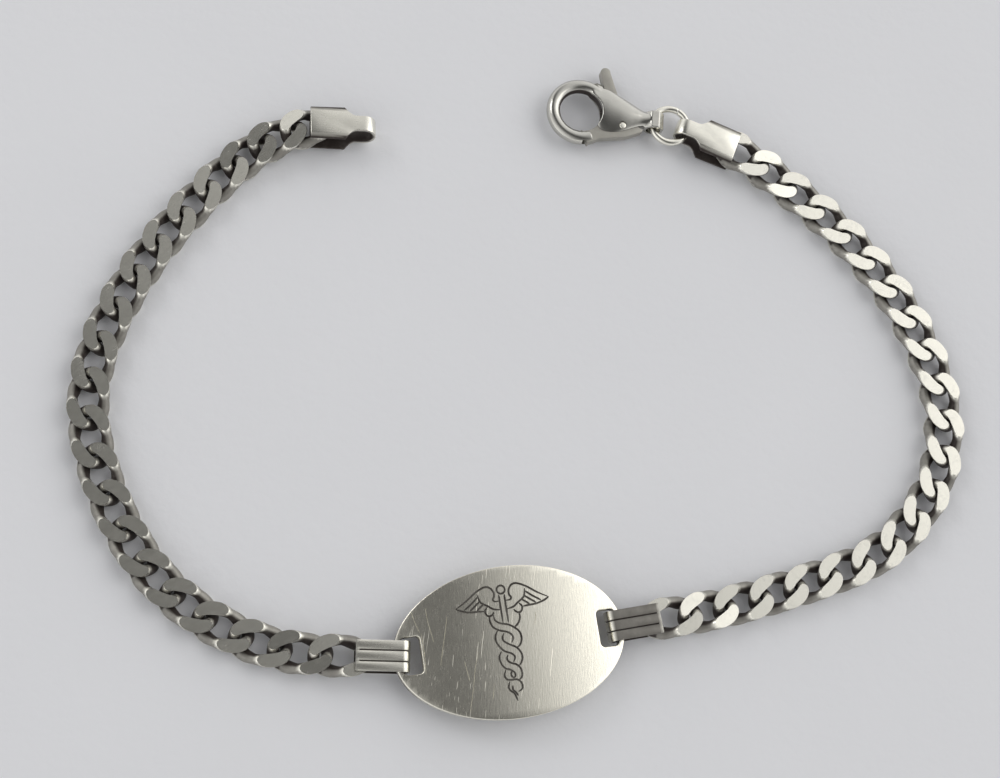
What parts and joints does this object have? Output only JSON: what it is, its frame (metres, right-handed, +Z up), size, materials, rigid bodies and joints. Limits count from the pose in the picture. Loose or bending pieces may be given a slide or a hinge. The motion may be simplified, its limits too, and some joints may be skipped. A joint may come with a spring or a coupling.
{
  "type": "medical alert bracelet",
  "caption": "Silver medical alert bracelet: curved oval plate engraved with a caduceus, ribbed bails, flat curb chains, folded end tags, jump ring and lobster claw clasp.",
  "frame": {"origin": "middle of the bounding box of the open bracelet, at the surface it lies on", "axes": "+X along the bracelet's long extent, from the left chain to the right chain with the plate at the front; +Y away from the viewer, towards the open ends; +Z up from the surface"},
  "size_m": [0.0856, 0.0638, 0.0026],
  "materials": {
    "plate_silver": "brushed and scratched sterling silver, engraved lines darkened",
    "strap_silver": "satin sterling silver, darkened inside the folds",
    "chain_silver": "worn polished sterling silver, darkened between the links",
    "ring_silver": "polished sterling silver",
    "clasp_silver": "satin sterling silver",
    "pin_silver": "satin sterling silver"
  },
  "bodies": {
    "bracelet": {"id_plate": "plate_silver", "bail_left": "strap_silver", "bail_right": "strap_silver", "tag_left": "strap_silver", "tag_right": "strap_silver", "jump_ring": "ring_silver", "clasp_body": "clasp_silver", "lever_pin": "pin_silver", "link_left_1": "chain_silver", "link_left_2": "chain_silver", "link_left_3": "chain_silver", "link_left_4": "chain_silver", "link_left_5": "chain_silver", "link_left_6": "chain_silver", "link_left_7": "chain_silver", "link_left_8": "chain_silver", "link_left_9": "chain_silver", "link_left_10": "chain_silver", "link_left_11": "chain_silver", "link_left_12": "chain_silver", "link_left_13": "chain_silver", "link_left_14": "chain_silver", "link_left_15": "chain_silver", "link_left_16": "chain_silver", "link_left_17": "chain_silver", "link_left_18": "chain_silver", "link_left_19": "chain_silver", "link_left_20": "chain_silver", "link_left_21": "chain_silver", "link_right_1": "chain_silver", "link_right_2": "chain_silver", "link_right_3": "chain_silver", "link_right_4": "chain_silver", "link_right_5": "chain_silver", "link_right_6": "chain_silver", "link_right_7": "chain_silver", "link_right_8": "chain_silver", "link_right_9": "chain_silver", "link_right_10": "chain_silver", "link_right_11": "chain_silver", "link_right_12": "chain_silver", "link_right_13": "chain_silver", "link_right_14": "chain_silver", "link_right_15": "chain_silver", "link_right_16": "chain_silver", "link_right_17": "chain_silver", "link_right_18": "chain_silver", "link_right_19": "chain_silver", "link_right_20": "chain_silver", "link_right_21": "chain_silver"},
    "lever": {"clasp_lever": "clasp_silver"}
  },
  "joints": [
    {"name": "lever_hinge", "type": "hinge", "parent": "bracelet", "child": "lever", "pos_m": [0.01023, 0.02564, 0.00115], "axis": [0, 0, -1], "range_deg": [0, 20], "stiffness_Nm_per_rad": 0.005}
  ]
}
